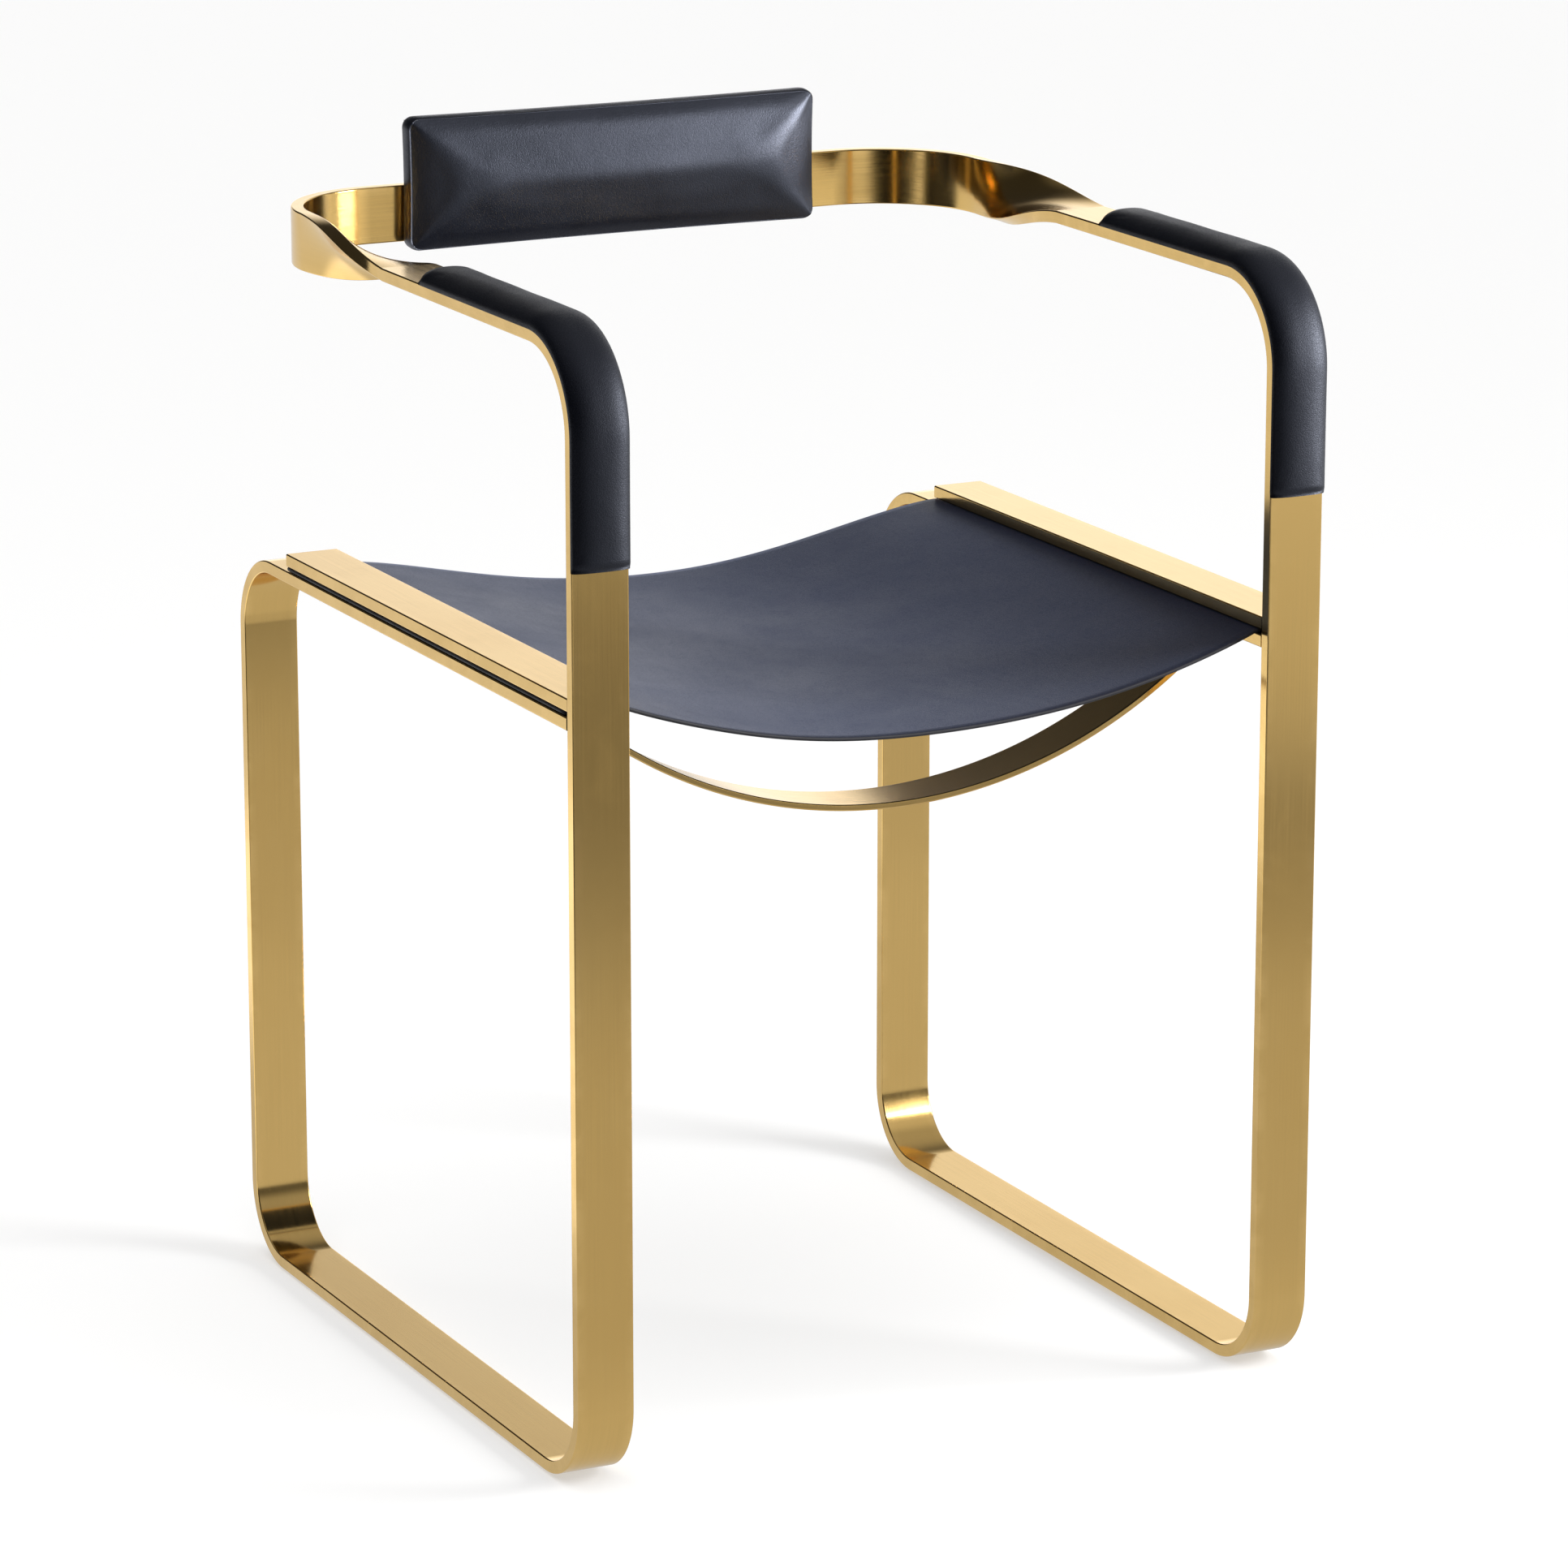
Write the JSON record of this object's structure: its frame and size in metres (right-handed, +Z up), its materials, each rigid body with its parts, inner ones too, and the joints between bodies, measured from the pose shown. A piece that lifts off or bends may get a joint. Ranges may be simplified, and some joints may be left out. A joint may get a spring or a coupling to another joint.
{
  "type": "sled-base armchair",
  "caption": "Sled-base dining armchair bent from flat brass bar, with a hanging leather seat, padded leather arm covers and a rectangular leather back pad.",
  "frame": {"origin": "on the floor, under the middle of the chair's bounding box", "axes": "+Z up; -Y is the way the sitter faces; +X is on the right when the chair is seen from the front"},
  "size_m": [0.4962, 0.516, 0.7423],
  "materials": {
    "brass": "lightly brushed, satin",
    "steel_screws": "satin",
    "navy_leather": "smooth, semi-gloss",
    "foam": "open-cell foam",
    "plywood": "raw",
    "nylon_glides": "matt"
  },
  "bodies": {
    "root": {"back_bar": "brass", "back_pad_board": "plywood", "back_pad_cover": "navy_leather", "back_pad_foam": "foam", "back_pad_screw_1": "steel_screws", "back_pad_screw_2": "steel_screws", "back_pad_screw_3": "steel_screws", "back_pad_screw_4": "steel_screws", "front_brace": "brass", "left_arm_bar": "brass", "left_arm_bend": "brass", "left_arm_pad_cover": "navy_leather", "left_arm_pad_foam": "foam", "left_arm_twist": "brass", "left_back_corner": "brass", "left_clamp_screw_1": "steel_screws", "left_clamp_screw_2": "steel_screws", "left_clamp_screw_3": "steel_screws", "left_clamp_screw_4": "steel_screws", "left_floor_runner": "brass", "left_front_floor_bend": "brass", "left_front_glide": "nylon_glides", "left_front_leg": "brass", "left_rear_floor_bend": "brass", "left_rear_glide": "nylon_glides", "left_rear_leg": "brass", "left_rear_top_bend": "brass", "left_seat_clamp_bar": "brass", "left_seat_rail": "brass", "right_arm_bar": "brass", "right_arm_bend": "brass", "right_arm_pad_cover": "navy_leather", "right_arm_pad_foam": "foam", "right_arm_twist": "brass", "right_back_corner": "brass", "right_clamp_screw_1": "steel_screws", "right_clamp_screw_2": "steel_screws", "right_clamp_screw_3": "steel_screws", "right_clamp_screw_4": "steel_screws", "right_floor_runner": "brass", "right_front_floor_bend": "brass", "right_front_glide": "nylon_glides", "right_front_leg": "brass", "right_rear_floor_bend": "brass", "right_rear_glide": "nylon_glides", "right_rear_leg": "brass", "right_rear_top_bend": "brass", "right_seat_clamp_bar": "brass", "right_seat_rail": "brass", "seat_leather": "navy_leather"}
  },
  "joints": []
}
